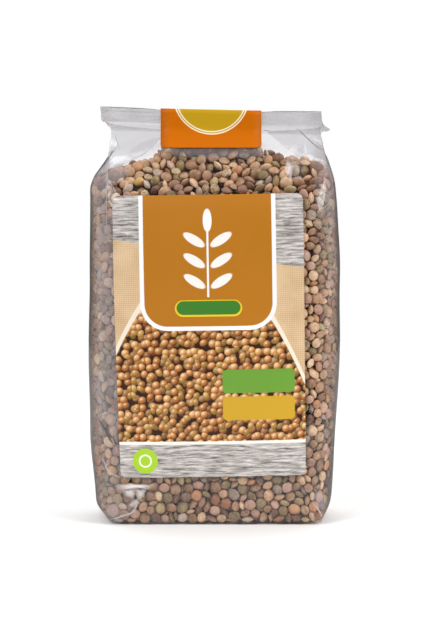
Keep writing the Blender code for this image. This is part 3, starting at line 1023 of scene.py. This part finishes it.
def printed_seeds(tree, at, shift, behind, brightness):
    """Seeds 3 mm wide, each turned its own way and lit from the upper left, over a ground."""
    moved = add(tree, "ShaderNodeVectorMath", {0: at, 1: (*shift, 0)}, operation="ADD")
    cells = add(
        tree, "ShaderNodeTexVoronoi", {"Vector": moved, "Scale": 0.33, "Randomness": 0.8},
        voronoi_dimensions="2D",
    )
    local = add(
        tree, "ShaderNodeVectorMath", {0: moved, 1: cells.outputs["Position"]}, operation="SUBTRACT"
    )
    own = add(tree, "ShaderNodeSeparateColor", {"Color": cells.outputs["Color"]})
    turn = add(
        tree, "ShaderNodeMath", {0: own.outputs["Red"], 1: 2 * math.pi}, operation="MULTIPLY"
    )
    turned_at = add(
        tree, "ShaderNodeVectorRotate", {"Vector": local, "Angle": turn}, rotation_type="Z_AXIS"
    )
    narrow = add(
        tree, "ShaderNodeMapRange",
        {"Value": own.outputs["Green"], "From Min": 0.35, "To Min": 1, "To Max": 1.55},
    )
    stretch = add(tree, "ShaderNodeCombineXYZ", {"X": 1, "Y": narrow, "Z": 0})
    oval = add(tree, "ShaderNodeVectorMath", {0: turned_at, 1: stretch}, operation="MULTIPLY")
    far = add(tree, "ShaderNodeVectorMath", {0: oval}, operation="LENGTH").outputs["Value"]
    seed = add(tree, "ShaderNodeMapRange", up_to(far, 1.42, 1.66))
    lit = add(
        tree, "ShaderNodeVectorMath", {0: local, 1: (-0.17, 0.24, 0.0)}, operation="DOT_PRODUCT"
    ).outputs["Value"]
    lit = add(
        tree, "ShaderNodeMath", {0: own.outputs["Blue"], 1: 0.30, 2: lit}, operation="MULTIPLY_ADD"
    )
    dome = add(tree, "ShaderNodeMath", {0: far, 1: 3}, operation="POWER")
    lit = add(tree, "ShaderNodeMath", {0: dome, 1: -0.075, 2: lit}, operation="MULTIPLY_ADD")
    lit = add(tree, "ShaderNodeMath", {0: lit, 1: 0.42}, operation="ADD")
    ramp = add(tree, "ShaderNodeValToRGB", {"Fac": lit})
    set_stops(ramp, (0.02, "#56290f"), (0.48, "#b9753a"), (0.95, "#f4cc92"))
    hue = add(tree, "ShaderNodeMath", {0: own.outputs["Green"], 1: 0.72}, operation="GREATER_THAN")
    hue = add(tree, "ShaderNodeMath", {0: hue, 1: 0.35}, operation="MULTIPLY")
    glint_at = add(
        tree, "ShaderNodeVectorMath", {0: local, 1: (-0.42, 0.52, 0.0)}, operation="DISTANCE"
    ).outputs["Value"]
    glint = add(
        tree, "ShaderNodeMapRange",
        {"Value": glint_at, "From Min": 0.15, "From Max": 0.50, "To Min": 0.55, "To Max": 0},
    )
    layers = ((hue, linear("#a8933f")), (glint, linear("#ffe9c6")))
    seeds = painted(tree, ramp.outputs["Color"], *layers)
    shaded = painted(tree, linear("#2c1307"), (brightness, seeds))
    return painted(tree, behind, (seed, shaded))


def printed_sprig(tree, at, foot, pairs):
    """1 on a plain sprig with pairs of narrow leaves, 8 mm apart on its stem."""
    own = add(tree, "ShaderNodeVectorMath", {0: at, 1: (*foot, 0)}, operation="SUBTRACT")
    split = add(tree, "ShaderNodeSeparateXYZ", {"Vector": own})
    side = add(tree, "ShaderNodeMath", {0: split.outputs["X"]}, operation="ABSOLUTE")
    step = add(tree, "ShaderNodeMath", {0: split.outputs["Y"], 1: 8}, operation="FLOORED_MODULO")
    folded_at = add(tree, "ShaderNodeCombineXYZ", {"X": side, "Y": step})
    leaf = inside_oval(tree, folded_at, (5.2, 4.2), (4.7, 1.75), math.radians(32))
    reach_up = inside_box(tree, at, (foot[0], foot[1] + 4 * pairs), (12, 4 * pairs), 0.1)
    leaves = add(tree, "ShaderNodeMath", {0: leaf, 1: reach_up}, operation="MULTIPLY")
    stem = inside_box(tree, at, (foot[0], foot[1] + 4 * pairs - 1.0), (0.38, 4 * pairs + 1.0), 0.3)
    tip = inside_oval(tree, at, (foot[0], foot[1] + 8 * pairs + 3.6), (1.7, 4.4))
    both = add(tree, "ShaderNodeMath", {0: leaves, 1: stem}, operation="MAXIMUM")
    return add(tree, "ShaderNodeMath", {0: both, 1: tip}, operation="MAXIMUM")


def label_finish():
    made, tree = new_material("coated paper, printed label")
    at = add(tree, "ShaderNodeUVMap", uv_map="print")
    split = add(tree, "ShaderNodeSeparateXYZ", {"Vector": at})
    u, v = split.outputs["X"], split.outputs["Y"]
    ground = printed_strokes(tree, at)
    threads = printed_threads(tree, at)

    slant = add(tree, "ShaderNodeMath", {0: u, 1: 0.16, 2: v}, operation="MULTIPLY_ADD")
    from_top = add(tree, "ShaderNodeMath", {0: u, 1: 34}, operation="SUBTRACT")
    from_top = add(tree, "ShaderNodeMath", {0: from_top, 1: 2}, operation="POWER")
    hill = add(tree, "ShaderNodeMath", {0: from_top, 1: 0.030, 2: v}, operation="MULTIPLY_ADD")
    # the beige ground ends at a slanting line near the top, a hill of seeds stands in front of
    # it with a pale band along its outline, and the lowest strip shows the grey ground again
    low, band, mound, foot = [
        add(tree, "ShaderNodeMapRange", up_to(height, start, end))
        for height, start, end in (
            (slant, 92.9, 93.2), (hill, 85.8, 86.2), (hill, 82.4, 82.8), (v, 13.0, 13.2),
        )
    ]
    # two layers of seeds, the lower one darker between those in front
    deep = printed_seeds(tree, at, (37.3, 21.9), linear("#33170a"), 0.55)
    seeds = printed_seeds(tree, at, (0.0, 0.0), deep, 1.0)
    boxes = (
        ((37.0, 13.6), (60.0, 0.6), 0.1, "#fbf8f2"),
        ((36.5, 91.0), (26.4, 33.4), 10.4, "#fdfdfd"),
        ((36.5, 91.0), (24.8, 31.8), 8.8, "#b9761a"),
        ((36.5, 66.2), (13.0, 3.2), 3.2, "#f1cf2e"),
        ((36.5, 66.4), (12.4, 2.7), 2.7, "#3f7f2c"),
        ((55.5, 37.6), (14.0, 4.6), 1.6, "#6c9f37"),
        ((55.5, 27.0), (14.0, 4.6), 1.6, "#cfa32b"),
    )
    spots = ((5.0, "#a9d22e"), (2.6, "#f6fbe9"), (2.0, "#a9d22e"))
    picture = painted(
        tree, ground,
        (low, threads), (band, linear("#f3e7d3")), (mound, seeds), (foot, ground),
        *[(inside_box(tree, at, *box), linear(colour)) for *box, colour in boxes],
        (printed_sprig(tree, at, (36.5, 72.5), 3), linear("#fdfbf6")),
        *round_spots(tree, at, (10.2, 6.6), spots),
    )
    return coated(made, picture, 0.3)


def sticker_finish():
    made, tree = new_material("coated paper, printed sticker")
    at = add(tree, "ShaderNodeUVMap", uv_map="print")
    # a disc with two thin rings
    rings = ((14.9, "#fbf3dc"), (14.5, "#c49c1b"), (14.0, "#fbf3dc"), (13.6, "#c49c1b"))
    disc = round_spots(tree, at, DISC_CENTRE, rings)
    return coated(made, painted(tree, linear("#cc6a00"), *disc), 0.1)


def underside_finish():
    """The unprinted side of the sticker, pale and dull with its adhesive."""
    made, tree = new_material("uncoated paper with adhesive")
    place = add(tree, "ShaderNodeTexCoord")
    fibre = add(
        tree, "ShaderNodeTexNoise",
        {"Vector": place.outputs["Object"], "Scale": 700, "Detail": 4},
    )
    shade = painted(tree, linear("#d9cfc0"), (fibre.outputs["Fac"], linear("#efe9df")))
    shader = add(tree, "ShaderNodeBsdfPrincipled", {"Base Color": shade, "Roughness": 0.7})
    return finished(made, shader)


# Studio and camera


def make_studio():
    """A white table top under soft lamps, with light from behind and a dark room in front."""
    deselect()
    bpy.ops.mesh.primitive_circle_add(
        vertices=96, radius=0.45, fill_type="NGON", location=(0, 0.16, -0.0004)
    )
    floor = bpy.context.active_object
    floor.name = "studio_floor"
    settle(floor)
    thickness = {"value": (0, 0, -0.012)}
    edit(floor, lambda: bpy.ops.mesh.extrude_region_move(TRANSFORM_OT_translate=thickness))
    made, tree = new_material("matt white laminate")
    white = {"Base Color": linear("#f8f8f8"), "Roughness": 0.9}
    shader = add(tree, "ShaderNodeBsdfPrincipled", white)
    floor.data.materials.append(finished(made, shader))

    world = bpy.data.worlds.new("studio light")
    world.use_nodes = True
    tree = world.node_tree
    tree.nodes.clear()
    way = add(tree, "ShaderNodeTexCoord")
    split = add(tree, "ShaderNodeSeparateXYZ", {"Vector": way.outputs["Generated"]})
    span = {"From Min": -0.55, "From Max": 0.35, "To Min": 0.05, "To Max": 0.48}
    behind = add(tree, "ShaderNodeMapRange", {"Value": split.outputs["Y"], **span})
    room = add(tree, "ShaderNodeBackground", {"Color": (1, 1, 1, 1), "Strength": behind})
    paper = add(tree, "ShaderNodeBackground", {"Color": (1, 1, 1, 1), "Strength": 1})
    seen = add(tree, "ShaderNodeLightPath")
    both = add(
        tree, "ShaderNodeMixShader",
        {0: seen.outputs["Is Camera Ray"], 1: room.outputs[0], 2: paper.outputs[0]},
    )
    add(tree, "ShaderNodeOutputWorld", {"Surface": both})
    bpy.context.scene.world = world
    lamps = (("key lamp", (-0.95, -0.85, 1.0), 17.6), ("fill lamp", (1.25, -0.60, 0.85), 20.0))
    aim = Vector((0, 0, 0.08))
    for name, place, power in lamps:
        light = bpy.data.lights.new(name, "AREA")
        light.shape = "DISK"
        light.size = 1.1
        light.energy = power
        lamp = in_scene(name, light)
        lamp.location = place
        lamp.rotation_euler = (aim - Vector(place)).to_track_quat("-Z", "Y").to_euler()
    light = bpy.data.lights.new("overhead light", "SUN")
    light.energy = 1.45
    light.angle = math.radians(60)
    in_scene("overhead light", light).rotation_euler = (math.radians(-32), 0, 0)


def make_camera():
    target = Vector([part * MM for part in CAMERA_TARGET])
    back = Vector((0, -math.cos(CAMERA_ELEVATION), math.sin(CAMERA_ELEVATION)))
    data = bpy.data.cameras.new("camera")
    data.sensor_fit = "VERTICAL"
    data.sensor_height = SENSOR_HEIGHT
    data.lens = SENSOR_HEIGHT * CAMERA_DISTANCE / PICTURE_HEIGHT
    data.clip_start = 0.01
    made = in_scene("camera", data)
    made.location = target + back * CAMERA_DISTANCE
    made.rotation_euler = (-back).to_track_quat("-Z", "Y").to_euler()
    bpy.context.scene.camera = made


def dress():
    bag = own_copy("lentil_bag", "bag_measure")
    bag_tree = tree_of(bag)
    bpy.data.objects.remove(bag, do_unlink=True)
    film = make_film()
    filling = make_filling()
    film_tree = tree_of(film)
    kinds = make_lentils(film_tree)
    label = make_front_label(bag_tree)
    sticker = make_sticker(bag_tree)
    creases = [*make_fold_edges(film_tree), make_puckers(film_tree)]
    for piece in (film, filling, label, sticker, *creases, *kinds):
        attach(piece, "root")
    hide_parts("lentil_bag")
    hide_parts("front_label")
    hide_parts("top_sticker")


bpy.context.scene.view_settings.view_transform = "Standard"
make_camera()
make_studio()
dress()
